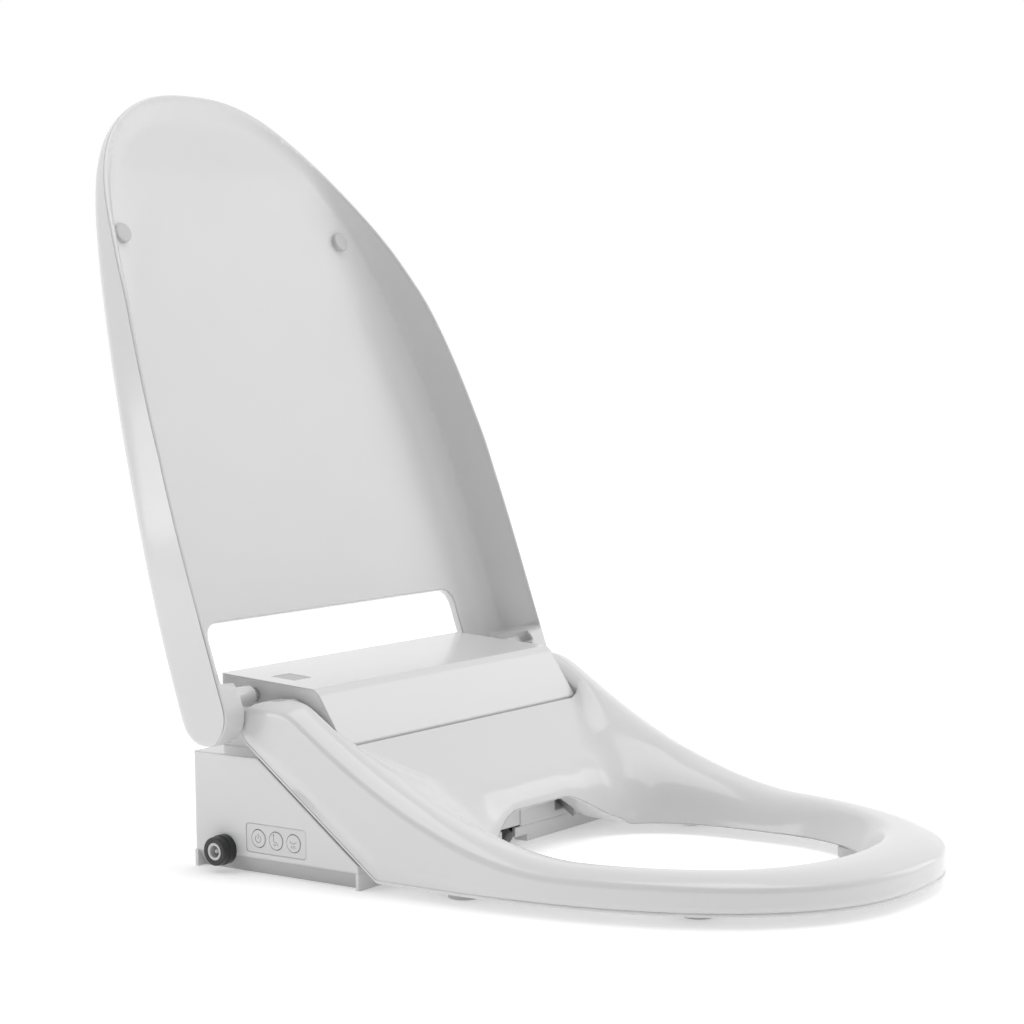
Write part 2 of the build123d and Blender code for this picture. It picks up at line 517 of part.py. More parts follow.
# inside the unit
put("water_heater", fillet(box(22, 56, -42, 16, 24, 70).edges().filter_by(Axis.Z), 6.0))
put("inlet_solenoid_valve", box(-158, -136, 22, 44, 8, 28) + cyl_z(-147, 33, 8.0, 28, 48))
put("pump", cyl_z(-112, 34, 15.0, 7.5, 44.0) + cyl_z(-112, 34, 4.0, 44.0, 52.0))
blower = cyl_x(-14, 44, 23.0, -60, -36)
put("blower", blower - cyl_x(-14, 44, 12.0, -61, -52))
put("dryer_duct", box(-50, -34, -88, -44, 13.5, 28) - box(-48.5, -35.5, -89, -43, 15, 26.5))
put("nozzle_motor", cyl_x(-20, 40, 9.0, 9.8, 20.0))
put("control_board", box(-60, 60, -20, 50, 116, 117.6) + box(-12, 12, 4, 28, 117.6, 119.6))
put("sensor_board", box(-126, -104, 4, 20, 126, 127.6))
put("power_board", box(70, 140, 22, 58, 12, 13.6) + box(80, 104, 28, 50, 13.6, 34) + cyl_z(124, 40,
        8, 13.6, 38))
put("button_board", box(X0 + 8.6, X0 + 10.2, -46, 12, 16, 40))
put("cord_gland", (cyl_x(40, 24, 9.0, 179.1, 184) + cyl_x(40, 24, 6.5, 184, 196)) - cyl_x(40, 24,
        3.2, 170, 200))


def hose(points, r, start, end):
    """Round hose through the points, leaving along start and arriving along end."""
    path = Spline(*points, tangents=[start, end])
    return sweep(Plane(origin=path @ 0, z_dir=start) * Circle(r), path=path)


WAND_END = [TIP[i] - axis_dir[i] * (NOZZLE_LEN + 0.5) for i in (0, 1)]
put("hose_valve_to_pump", hose([(-135.7, 33, 18), (-127.4, 34, 18)], 3.0, (1, 0, 0), (1, 0, 0)))
put("hose_pump_to_heater", hose([(-112, 34, 52.3), (-90, 38, 82), (-20, 40, 92), (25, 12, 86),
        (38, -10, 70.4)], 3.0,
                                (0, 0, 1), (0, 0, -1)))
put("hose_heater_to_nozzle", hose([(21.6, 8, 60), (8, 8, 63), (0, WAND_END[0], WAND_END[1])], 2.5,
                                  (-1, 0, 0), (0, axis_dir[0], axis_dir[1])))


if __name__ == "__main__":
    for name, shape in PARTS.items():
        sol = shape.solids()
        print(name, len(sol), round(shape.volume), shape.bounding_box())
        export_step(Compound(children=list(sol)) if len(sol) != 1 else sol[0], f"parts/{name}.step")
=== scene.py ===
"""Looks for the electric bidet seat: finished shells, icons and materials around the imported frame."""
import json
import math

import bmesh
import bpy
import numpy as np
from mathutils import Matrix, Vector
from mathutils.geometry import delaunay_2d_cdt


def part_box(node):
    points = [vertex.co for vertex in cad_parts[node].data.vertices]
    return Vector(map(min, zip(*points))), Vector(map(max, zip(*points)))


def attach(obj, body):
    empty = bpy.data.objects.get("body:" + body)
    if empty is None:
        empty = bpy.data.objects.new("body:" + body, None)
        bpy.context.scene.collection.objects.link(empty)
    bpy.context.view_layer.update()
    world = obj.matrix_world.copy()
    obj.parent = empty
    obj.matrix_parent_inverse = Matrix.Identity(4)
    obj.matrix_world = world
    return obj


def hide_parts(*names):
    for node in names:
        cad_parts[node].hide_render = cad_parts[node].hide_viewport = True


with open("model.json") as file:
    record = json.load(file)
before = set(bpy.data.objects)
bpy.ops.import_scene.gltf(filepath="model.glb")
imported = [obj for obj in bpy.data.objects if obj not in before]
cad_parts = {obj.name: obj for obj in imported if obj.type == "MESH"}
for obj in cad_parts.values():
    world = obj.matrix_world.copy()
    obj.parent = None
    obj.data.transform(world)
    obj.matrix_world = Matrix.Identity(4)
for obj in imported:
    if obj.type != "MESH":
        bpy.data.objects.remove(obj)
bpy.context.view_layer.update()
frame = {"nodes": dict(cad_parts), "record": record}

MM = 0.001


# ---- materials ---------------------------------------------------------------
def new_mat(name):
    m = bpy.data.materials.new(name)
    m.use_nodes = True
    nt = m.node_tree
    return m, nt, nt.nodes["Principled BSDF"]


def moulded(name, colour, rough, peel=0.02, peel_scale=260.0, grain=0.0, grain_scale=2200.0, coat=0.0,
            round_mm=0.8, tint=0.012, ior=1.5):
    """Injection-moulded plastic: faint tone drift, uneven gloss, orange peel, grain, softened edges."""
    m, nt, bsdf = new_mat(name)
    n, l = nt.nodes, nt.links
    geo = n.new("ShaderNodeTexCoord")
    drift = n.new("ShaderNodeTexNoise")
    drift.inputs["Scale"].default_value = 7.0
    drift.inputs["Detail"].default_value = 3.0
    l.new(geo.outputs["Object"], drift.inputs["Vector"])
    ramp = n.new("ShaderNodeMapRange")
    ramp.inputs["From Min"].default_value, ramp.inputs["From Max"].default_value = 0.3, 0.7
    ramp.inputs["To Min"].default_value, ramp.inputs["To Max"].default_value = 1.0 - tint, 1.0 + tint
    l.new(drift.outputs["Fac"], ramp.inputs["Value"])
    mix = n.new("ShaderNodeMix")
    mix.data_type = "RGBA"
    mix.blend_type = "MULTIPLY"
    mix.inputs["Factor"].default_value = 1.0
    mix.inputs[6].default_value = (*colour, 1)
    l.new(ramp.outputs["Result"], mix.inputs[7])
    l.new(mix.outputs[2], bsdf.inputs["Base Color"])
    smear = n.new("ShaderNodeTexNoise")
    smear.inputs["Scale"].default_value = 16.0
    smear.inputs["Detail"].default_value = 1.0
    l.new(geo.outputs["Object"], smear.inputs["Vector"])
    rr = n.new("ShaderNodeMapRange")
    rr.inputs["From Min"].default_value, rr.inputs["From Max"].default_value = 0.25, 0.75
    rr.inputs["To Min"].default_value, rr.inputs["To Max"].default_value = rough * 0.92, rough * 1.08
    l.new(smear.outputs["Fac"], rr.inputs["Value"])
    l.new(rr.outputs["Result"], bsdf.inputs["Roughness"])
    last = None
    if round_mm:
        bevel = n.new("ShaderNodeBevel")
        bevel.samples = 6
        bevel.inputs["Radius"].default_value = round_mm * MM
        last = bevel.outputs["Normal"]
    for amount, scale in ((peel, peel_scale), (grain, grain_scale)):
        if amount <= 0:
            continue
        tex = n.new("ShaderNodeTexNoise")
        tex.inputs["Scale"].default_value = scale
        tex.inputs["Detail"].default_value = 2.0
        l.new(geo.outputs["Object"], tex.inputs["Vector"])
        bump = n.new("ShaderNodeBump")
        bump.inputs["Strength"].default_value = amount
        bump.inputs["Distance"].default_value = 0.0004
        l.new(tex.outputs["Fac"], bump.inputs["Height"])
        if last:
            l.new(last, bump.inputs["Normal"])
        last = bump.outputs["Normal"]
    if last:
        l.new(last, bsdf.inputs["Normal"])
    bsdf.inputs["IOR"].default_value = ior
    bsdf.inputs["Coat Weight"].default_value = coat
    bsdf.inputs["Coat Roughness"].default_value = 0.06
    return m


def metal(name, colour, rough):
    m, nt, bsdf = new_mat(name)
    n, l = nt.nodes, nt.links
    geo = n.new("ShaderNodeTexCoord")
    tex = n.new("ShaderNodeTexNoise")
    tex.inputs["Scale"].default_value = 900.0
    l.new(geo.outputs["Object"], tex.inputs["Vector"])
    rr = n.new("ShaderNodeMapRange")
    rr.inputs["To Min"].default_value, rr.inputs["To Max"].default_value = rough * 0.7, rough * 1.3
    l.new(tex.outputs["Fac"], rr.inputs["Value"])
    l.new(rr.outputs["Result"], bsdf.inputs["Roughness"])
    bsdf.inputs["Base Color"].default_value = (*colour, 1)
    bsdf.inputs["Metallic"].default_value = 1.0
    return m


def paint_underside_shade(mat, low):
    """Painted shade: faces that look down and outwards get a greyer base colour, standing in for the shade
    the tucked-in skirt sits in; the plastic itself is the same white.
    """
    nt = mat.node_tree
    n, l = nt.nodes, nt.links
    geo = n.new("ShaderNodeNewGeometry")
    sep = n.new("ShaderNodeSeparateXYZ")
    l.new(geo.outputs["Normal"], sep.inputs[0])
    # painted shade ramp: base colour drops to low on faces turned downward
    fall = n.new("ShaderNodeMapRange")
    fall.inputs["From Min"].default_value, fall.inputs["From Max"].default_value = -0.45, -0.3
    fall.inputs["To Min"].default_value, fall.inputs["To Max"].default_value = low, 1.0
    l.new(sep.outputs["Z"], fall.inputs["Value"])
    bsdf = n["Principled BSDF"]
    old = bsdf.inputs["Base Color"].links[0].from_socket
    mix = n.new("ShaderNodeMix")
    mix.data_type = "RGBA"
    mix.blend_type = "MULTIPLY"
    mix.inputs["Factor"].default_value = 1.0
    l.new(old, mix.inputs[6])
    l.new(fall.outputs["Result"], mix.inputs[7])
    l.new(mix.outputs[2], bsdf.inputs["Base Color"])
    return mat


MATS = {
    "white_gloss": moulded("white_gloss", (0.70, 0.70, 0.70), 0.16, peel=0.03, coat=0.25, round_mm=1.2),
    "white_satin": moulded("white_satin", (0.68, 0.68, 0.68), 0.30, peel=0.05, round_mm=0.8),
    "skin_gloss": moulded("skin_gloss", (0.70, 0.70, 0.70), 0.15, peel=0.025, coat=0.25, round_mm=0),
    "skin_satin": moulded("skin_satin", (0.665, 0.665, 0.665), 0.30, peel=0.0, round_mm=0),
    "bumper_grey": moulded("bumper_grey", (0.55, 0.55, 0.55), 0.55, peel=0.0, grain=0.15, tint=0.03,
            ior=1.45),
    "black_plastic": moulded("black_plastic", (0.022, 0.022, 0.024), 0.38, peel=0.0, grain=0.12, tint=0.05),
    "inlet_white": moulded("inlet_white", (0.60, 0.60, 0.60), 0.30),
    "smoked_window": moulded("smoked_window", (0.16, 0.16, 0.165), 0.14, coat=0.4, round_mm=0.4),
    "dark_grey_plastic": moulded("dark_grey_plastic", (0.10, 0.10, 0.105), 0.36, grain=0.08),
    "board_green": moulded("board_green", (0.02, 0.12, 0.05), 0.4),
    "inner_grey": moulded("inner_grey", (0.30, 0.31, 0.32), 0.45),
    "hose_clear": moulded("hose_clear", (0.55, 0.60, 0.64), 0.3),
    "print_grey": moulded("print_grey", (0.20, 0.20, 0.20), 0.5, peel=0.0, round_mm=0.05),
    "steel": metal("steel", (0.62, 0.62, 0.63), 0.28),
    "foil": metal("foil", (0.8, 0.8, 0.8), 0.4),
}
for part in frame["record"]["subparts"]:
    node = frame["nodes"].get(part["node"])
    if node:
        node.data.materials.clear()
        node.data.materials.append(MATS[part["material_slot"]])
# Painted shade: the lower shell's down-facing faces are darkened to 0.62 of its white base colour.
skirt = paint_underside_shade(moulded("skirt_white_painted_shade", (0.70, 0.70, 0.70), 0.30, peel=0.05, round_mm=0.8), 0.62)
frame["nodes"]["base_lower_shell"].data.materials.clear()
frame["nodes"]["base_lower_shell"].data.materials.append(skirt)
cover = moulded("cover_gloss", (0.70, 0.70, 0.70), 0.18, peel=0.03, coat=0.2, round_mm=2.6)
frame["nodes"]["base_upper_cover"].data.materials.clear()
frame["nodes"]["base_upper_cover"].data.materials.append(cover)


# ---- skins: smooth closed shells lofted between a top and an underside height -------------------
def sm(t):
    t = min(1.0, max(0.0, t))
    return t * t * (3 - 2 * t)


def smin(a, b, k):
    return 0.5 * (a + b - math.sqrt((a - b) ** 2 + k * k))


def smax(a, b, k):
    return 0.5 * (a + b + math.sqrt((a - b) ** 2 + k * k))


def resample(pts, gap):
    """Closed polyline with even spacing."""
    p = np.array(pts + pts[:1], float)
    d = np.r_[0, np.cumsum(np.hypot(*np.diff(p, axis=0).T))]
    n = int(round(d[-1] / gap))
    s = np.linspace(0, d[-1], n, endpoint=False)
    return np.c_[np.interp(s, d, p[:, 0]), np.interp(s, d, p[:, 1])]


def round_corners(pts, radii):
    """Polygon with a fillet at each vertex that has a radius; others stay."""
    out = []
    for i, (p, r) in enumerate(zip(pts, radii)):
        p = np.array(p, float)
        if r <= 0:
            out.append(tuple(p))
            continue
        a, b = np.array(pts[i - 1], float) - p, np.array(pts[(i + 1) % len(pts)], float) - p
        a, b = a / np.hypot(*a), b / np.hypot(*b)
        half = math.acos(max(-1, min(1, float(a @ b)))) / 2
        cut = r / math.tan(half)
        for t in np.linspace(0, 1, 9):
            out.append(tuple((1 - t) ** 2 * (p + a * cut) + 2 * t * (1 - t) * p + t * t * (p + b * cut)))
    return out


def inside(poly, q):
    x, y = q[:, 0], q[:, 1]
    hit = np.zeros(len(q), bool)
    j = len(poly) - 1
    for i in range(len(poly)):
        (xi, yi), (xj, yj) = poly[i], poly[j]
        cross = (yi > y) != (yj > y)
        with np.errstate(divide="ignore", invalid="ignore"):
            hit ^= cross & (x < (xj - xi) * (y - yi) / (yj - yi) + xi)
        j = i
    return hit


def clear_of(poly, q, gap):
    keep = np.ones(len(q), bool)
    for i in range(0, len(q), 2000):
        d = np.hypot(q[i:i + 2000, None, 0] - poly[None, :, 0], q[i:i + 2000, None, 1] - poly[None, :, 1])
        keep[i:i + 2000] = d.min(1) > gap
    return keep


def loop_normals(loop):
    """Unit normals to the left of the direction of travel, lightly evened out."""
    d = np.roll(loop, -1, 0) - np.roll(loop, 1, 0)
    n = np.c_[-d[:, 1], d[:, 0]]
    n /= np.hypot(n[:, 0], n[:, 1])[:, None]
    n = n + 0.5 * (np.roll(n, 1, 0) + np.roll(n, -1, 0))
    return n / np.hypot(n[:, 0], n[:, 1])[:, None]


class Shell:
    """Collects vertices and faces; every face has a tag that says which piece it belongs to."""

    def __init__(self):
        self.v, self.f, self.tag, self.n = [], [], [], {}

    def add(self, pts):
        base = len(self.v)
        self.v += [tuple(p) for p in pts]
        return list(range(base, base + len(pts)))

    def strip(self, a, b, tag):
        k = len(a)
        for i in range(k):
            self.f.append((a[i], b[i], b[(i + 1) % k], a[(i + 1) % k]))
            self.tag.append(tag)

    def cap(self, loops, extra, height, gap, up, tag):
        """Fills the plan region bounded by loops (first is the outside) with a fine mesh at z = height."""
        xy = [np.array([self.v[i][:2] for i in lp]) for lp in loops]
        lo, hi = xy[0].min(0), xy[0].max(0)
        grid = []
        for j, y in enumerate(np.arange(lo[1], hi[1], gap * 0.866)):
            xs = np.arange(0.0, hi[0], gap) + (gap / 2 if j % 2 else 0.0)
            grid += [(s * x, y) for x in xs for s in ((-1, 1) if x > 0 else (1,))]
        taken, even = set(), []
        for p in list(extra) + grid:           # no two points closer than about a third of the spacing
            cell = (round(p[0] / (gap * 0.36)), round(p[1] / (gap * 0.36)))
            if not any((cell[0] + i, cell[1] + j) in taken for i in (-1, 0, 1) for j in (-1, 0, 1)):
                taken.add(cell)
                even.append(p)
        q = np.array(even, float)
        q = q[inside(xy[0], q)]
        for h in xy[1:]:
            q = q[~inside(h, q)]
        for lp in xy:
            q = q[clear_of(lp, q, gap * 0.55)]
        ids = [i for lp in loops for i in lp]
        flat = [Vector(self.v[i][:2]) for i in ids]
        edges, base = [], 0
        for lp in loops:
            edges += [(base + i, base + (i + 1) % len(lp)) for i in range(len(lp))]
            base += len(lp)
        new = self.add([(x, y, height(x, y)) for x, y in q])
        ids += new
        for i in new:
            x, y, _ = self.v[i]
            e = 0.4
            n = Vector((height(x - e, y) - height(x + e, y), height(x, y - e) - height(x, y + e),
                    2 * e)).normalized()
            self.n[i] = n if up else -n
        pts, _, tris, orig, _, _ = delaunay_2d_cdt(flat + [Vector(p) for p in q],
                edges, [], 0, 1e-5)
        back = [o[0] if o else None for o in orig]
        mid = np.array([[sum(pts[k][c] for k in t) / 3 for c in (0, 1)] for t in tris])
        good = inside(xy[0], mid)
        for h in xy[1:]:
            good &= ~inside(h, mid)
        for t, g in zip(tris, good):
            if not g or any(back[k] is None for k in t):
                continue
            a, b, c = (Vector(pts[k]) for k in t)
            w = (b - a).cross(c - a)
            t = [ids[back[k]] for k in t]
            if len(set(t)) < 3:
                continue
            self.f.append(tuple(t) if (w > 0) == up else tuple(reversed(t)))
            self.tag.append(tag)

    def build(self, place, names, mats, body, replaces):
        """One object per tag, smooth shaded, placed by the function place and riding on body."""
        made = []
        for tag, name in enumerate(names):
            faces = [f for f, t in zip(self.f, self.tag) if t == tag]
            used = sorted({i for f in faces for i in f})
            at = {i: k for k, i in enumerate(used)}
            me = bpy.data.meshes.new(name)
            me.from_pydata([place(self.v[i]) for i in used], [], [[at[i] for i in f] for f in faces])
            me.validate()
            me.update()
            for p in me.polygons:
                p.use_smooth = True
            zero = Vector(place((0, 0, 0)))
            own = [me.vertices[k].normal.copy() for k in range(len(me.vertices))]
            for i, k in at.items():
                if i in self.n:
                    own[k] = (Vector(place(self.n[i])) - zero).normalized()
            me.normals_split_custom_set_from_vertices([tuple(n) for n in own])
            ob = bpy.data.objects.new(name, me)
            bpy.context.collection.objects.link(ob)
            me.materials.append(MATS[mats[tag]])
            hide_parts(*replaces[tag])
            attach(ob, body)
            made.append(ob)
        return made


def edge_loops(sh, count, wall, normal, top, bot, r_top, r_bot, seam, tags):
    """Rounded rim, wall with optional parting groove, rounded foot; returns the top and bottom loops."""
    rows = []
    for i in range(count):
        x, y = wall(i, 1e3)
        for _ in range(6):
            x, y = wall(i, top(x, y))
        zt = top(x, y)
        bx, by = wall(i, -1e3)
        for _ in range(3):
            bx, by = wall(i, bot(bx, by))
        zb = bot(bx, by)
        thick = max(0.02, zt - zb)
        across, down = r_top(x, y, thick) if callable(r_top) else (min(r_top, thick * 0.45),) * 2
        rb = min(r_bot, thick * 0.2)
        nx, ny = normal[i]
        ax_, ay = x + nx * across, y + ny * across
        a = np.array((ax_, ay, top(ax_, ay)))
        a2 = (ax_ + nx * 2.0, ay + ny * 2.0)
        tangent = a[2] - (top(*a2) - a[2]) / 2.0 * across
        if callable(r_top):
            tangent = min(max(tangent, zb + 0.5 * thick), zt + 8.0)
            down += max(0.0, zt - tangent) * 0.9
        else:
            tangent = zt
        b = np.array((x, y, tangent))
        rt = min(down, 0.86 * thick)
        c = np.array((*wall(i, zt - rt), zt - rt))
        pts = [(1 - t) ** 2 * a + 2 * t * (1 - t) * b + t * t * c for t in (0, 0.12, 0.26, 0.4,
                0.55, 0.7, 0.85, 1.0)]
        lo = zb + rb
        g = min(1.0, thick / 14.0)
        zs = lo + seam * g
        for t in (0.33, 0.66):
            z = (zt - rt) + (zs + 0.5 * g - (zt - rt)) * t
            pts.append(np.array((*wall(i, z), z)))
        for dz, depth in ((0.42, 0.0), (0.22, 0.5), (-0.22, 0.5), (-0.42, 0.0)):
            z = zs + dz * g
            wx, wy = wall(i, z)
            d = depth * g if seam > 0 else 0.0
            pts.append(np.array((wx + nx * d, wy + ny * d, z)))
        d1 = np.array((*wall(i, lo), lo))
        d2 = np.array((bx, by, zb))
        ex, ey = bx + nx * rb, by + ny * rb
        d3 = np.array((ex, ey, bot(ex, ey)))
        pts += [(1 - t) ** 2 * d1 + 2 * t * (1 - t) * d2 + t * t * d3 for t in (0, 0.35, 0.7, 1.0)]
        rows.append(pts)
    loops = [sh.add([rows[i][k] for i in range(count)]) for k in range(len(rows[0]))]
    for k in range(len(loops) - 1):
        sh.strip(loops[k], loops[k + 1], tags[0] if k < 11 else tags[1])
    return loops[0], loops[-1]


# ---- seat ring -----------------------------------------------------------------
HALF_SEAT, SEAT_TIP, SEAT_BOT, RING_TOP, WING_TOP = 179.5, -443.0, 7.5, 34.0, 129.0
RING_N, RING_YC = 2.35, -150.0
HOLE_TOP, HOLE_BOT, HOLE_REAR_N = (131.0, -268.0, 133.0, 143.0, 2.2), (114.0, -262.0, 120.0, 131.0,
        2.2), 3.2
NOTCH_X, NOTCH_Y, WING_R, AX_Y, AX_Z = 149.0, -58.5, 18.0, -2.0, 109.0
SLOPE = math.atan2(98.0 - 16.0, 12.0 + 101.0)


def ridge(y):
    t = max(0.0, (y + 260.0) / 230.0)
    return smin(RING_TOP + 95.0 * t ** 1.8, WING_TOP, 6.0)


def seat_top(x, y):
    ax = abs(x)
    deck = smin(smax(45.0 + 0.70 * (y + 130.0), RING_TOP, 8.0), ridge(y), 2.0)
    crease = min(142.0, max(90.0, 142.0 + 1.17 * (y + 55.0)))
    z = deck + (ridge(y) - deck) * sm((ax - crease) / (160.0 - crease))
    if y < RING_YC:
        t = ((RING_YC - y) / (RING_YC - SEAT_TIP)) ** RING_N + (ax / HALF_SEAT) ** RING_N
        inward = (1 - t ** (1 / RING_N)) * 200.0
    else:
        inward = HALF_SEAT - ax
    z -= 7.0 * max(0.0, 1 - max(0.0, inward) / 22.0) ** 2
    back = y - AX_Y
    if back > 0:
        cap = AX_Z + math.sqrt(max(0.0, WING_R ** 2 - back ** 2))
    else:
        cap = AX_Z + WING_R + 2.0 * sm(-back / 24.0)
    return min(z, cap)


ARCH_FRONT, ARCH_END, ARCH_RISE, ARCH_FLAT, ARCH_FADE = -151.0, -107.0, 28.5, 30.0, 70.0
ROOF_Y, ROOF_Z = (-150.0, -127.0, -53.5), (24.0, 36.0, 84.0)


def pocket(x, y):
    """Height of the hollow under the rear rim, where the nozzle housing reaches in."""
    if y < ARCH_FRONT:
        return SEAT_BOT
    roof = np.interp(y, ROOF_Y, ROOF_Z)
    roof = max(roof, seat_top(x, y) - 6.5 if y < -118.0 else 0.0)
    if y < ARCH_END:                           # a low arch at the rim
        fade = sm((y - ARCH_FRONT) / 7.0)
        return SEAT_BOT + fade * min(roof - SEAT_BOT, ARCH_RISE * (1 - sm((abs(x) - ARCH_FLAT) / ARCH_FADE)))
    return SEAT_BOT + (roof - SEAT_BOT) * (1 - sm((abs(x) - 68.5) / 3.0))


def seat_bot(x, y):
    return max(under(x, y), pocket(x, y))


def under(x, y):
    line = AX_Z - WING_R / math.cos(SLOPE) + (y - AX_Y) * math.tan(SLOPE)
    back = y - AX_Y
    if back > WING_R * math.sin(SLOPE):
        line = AX_Z - math.sqrt(max(0.0, WING_R ** 2 - back ** 2))
    return max(SEAT_BOT, line)


def seat():
    pts = [(HALF_SEAT * abs(math.sin(a)) ** (2 / RING_N),
            RING_YC + (SEAT_TIP - RING_YC) * math.cos(a) ** (2 / RING_N))
           for a in np.linspace(0, math.pi / 2, 160)[:-1]]
    rear = AX_Y + WING_R - 0.05
    right = pts + [(HALF_SEAT, -150.0)]
    corner = [(HALF_SEAT, rear), (NOTCH_X, rear), (NOTCH_X, NOTCH_Y)]
    poly = right + corner + [(-x, y) for x, y in reversed(corner)] + [(-x, y) for x,
            y in reversed(right[1:])]
    radii = [0.0] * len(right) + [4.0, 4.0, 3.0, 3.0, 4.0, 4.0] + [0.0] * (len(right) - 1)
    outer = resample(round_corners(poly, radii), 2.6)
    count = 300

    def hole(i, z):
        t = min(1.0, max(0.0, (z - 2.0) / 38.0))
        a = -2 * math.pi * i / count
        c, s = math.cos(a), math.sin(a)
        out = []
        for h, yc, front, back, n in (HOLE_BOT, HOLE_TOP):
            n = HOLE_REAR_N if s > 0 else n
            out.append((h * math.copysign(abs(c) ** (2 / n), c),
                        yc + (back if s > 0 else front) * math.copysign(abs(s) ** (2 / n), s)))
        return tuple(out[0][k] + (out[1][k] - out[0][k]) * t for k in (0, 1))

    sh = Shell()

    def outer_round(x, y, thick):
        near = abs(x) < NOTCH_X + 3 and y > NOTCH_Y - 3
        r = min(1.3 if near and y < -12 else 3.6, thick * 0.45)
        return r, r

    def hole_round(x, y, thick):
        broad = sm((y + 350.0) / 130.0)
        return min(7.0 + 18.0 * broad, thick * 1.2), min(6.5 + 17.0 * broad, thick * 0.78)

    t1, b1 = edge_loops(sh, len(outer), lambda i, z: tuple(outer[i]), loop_normals(outer), seat_top,
            seat_bot,
                        outer_round, 1.2, 1.6, (0, 1))
    ring = np.array([hole(i, 30.0) for i in range(count)])
    t2, b2 = edge_loops(sh, count, hole, loop_normals(ring), seat_top, seat_bot, hole_round, 1.2,
            0.0, (0, 1))
    rows = [(s * x, AX_Y + WING_R * math.sin(math.radians(p))) for p in range(6, 88, 6)
            for x in np.arange(150, 179.6, 3.0) for s in (-1, 1)]
    sh.cap([t1, t2], rows, seat_top, 3.2, True, 0)
    rows += [(s * x, y) for x in (68.3, 69.6, 70.9, 72.0) for y in np.arange(-150, -59,
            3.0) for s in (-1, 1)]
    rows += [(x, y) for y in (-151.0, -149.6) for x in np.arange(-72, 72.1, 3.0)]
    sh.cap([b1, b2], rows, seat_bot, 5.0, False, 1)
    return sh.build(lambda p: tuple(c * MM for c in p), ["seat_ring_skin", "seat_base_skin"],
                    ["skin_gloss", "skin_gloss"], "seat",
                    [["seat_top_shell"], ["seat_bottom_cover"]])


# ---- lid -----------------------------------------------------------------------
HALF_LID, LID_LEN, LID_N, LID_UC, LID_TOP, LID_PANEL, LID_LEAN = 202.0, 505.0, 2.5, 60.0, 34.0, 25.8, 108.85
RIM = [(150.0, -18.6), (190.0, -18.6), (298.0, -12.9), (351.0, -3.5), (378.0, 3.1), (405.0, 10.7),
       (430.0, 17.5), (470.0, 26.5), (520.0, 31.0), (560.0, 33.0)]
EDGE = [(-60.0, 28.0), (40.0, 27.0), (100.0, 23.4), (180.0, 17.4), (275.0, 14.5), (355.0, 19.0),
        (430.0, 30.0), (470.0, 35.0), (505.0, 37.5), (560.0, 39.0)]
LEG_U, LEG_W, LEG_R, LEG_X = -8.0, 4.7, 23.3, 181.0
CUT_U, CUT_X = 62.4, 152.0
RIM_LIP, WALL_RUN, FILLET, WALL_SHARE = 3.4, 7.6, 32.0, 0.66     # dish: lip, steep wall, gentle slope


def hermite(table, u):
    xs, ys = [p[0] for p in table], [p[1] for p in table]
    if u <= xs[0]:
        return ys[0]
    if u >= xs[-1]:
        return ys[-1]
    k = max(i for i in range(len(xs) - 1) if xs[i] <= u)
    inner = range(1, len(xs) - 1)
    slope = [0.0] + [(ys[i + 1] - ys[i - 1]) / (xs[i + 1] - xs[i - 1]) for i in inner] + [0.0]
    h = xs[k + 1] - xs[k]
    t = (u - xs[k]) / h
    return ((2 * t ** 3 - 3 * t * t + 1) * ys[k] + (t ** 3 - 2 * t * t + t) * h * slope[k]
            + (3 * t * t - 2 * t ** 3) * ys[k + 1] + (t ** 3 - t * t) * h * slope[k + 1])


def lid_inward(x, u):
    t = (abs(x) / HALF_LID) ** LID_N + (max(0.0, u - LID_UC) / (LID_LEN - LID_UC)) ** LID_N
    return (1 - t ** (1 / LID_N)) * HALF_LID


def lid_out(x, y):
    u = -y
    edge = hermite(EDGE, u)
    top = smax(LID_TOP, edge + 1.5, 1.0) + 2.0 * (1 - (x / HALF_LID) ** 2)
    z = top - (top - edge) * max(0.0, 1 - max(0.0, lid_inward(x, u)) / 55.0) ** 2.2
    back = LEG_U - u
    if back > 0:
        z = min(z, LEG_W + math.sqrt(max(0.0, LEG_R ** 2 - back ** 2)))
    return z


def lid_in(x, y):
    u = -y
    back = LEG_U - u
    if back > 0:
        return LEG_W - math.sqrt(max(0.0, LEG_R ** 2 - back ** 2))
    rim = hermite(RIM, u)
    flat = LID_PANEL + 6.0 * sm((u - 428.0) / 52.0)
    d = lid_inward(x, u) - RIM_LIP
    wall, slope = min(1.0, max(0.0, d / WALL_RUN)), min(1.0, max(0.0, d / FILLET))
    depth = WALL_SHARE * (1 - (1 - wall) ** 2) + (1 - WALL_SHARE) * (1 - (1 - slope) ** 2)
    dish = rim + (flat - rim) * depth
    leg = sm((u - 8.0) / 9.0)
    if abs(x) > LEG_X - 1.5:
        side = sm((abs(x) - (LEG_X - 1.5)) / 2.5)
        return dish * leg + (LID_PANEL * (1 - side) + rim * side) * (1 - leg)
    return dish * leg + LID_PANEL * (1 - leg)


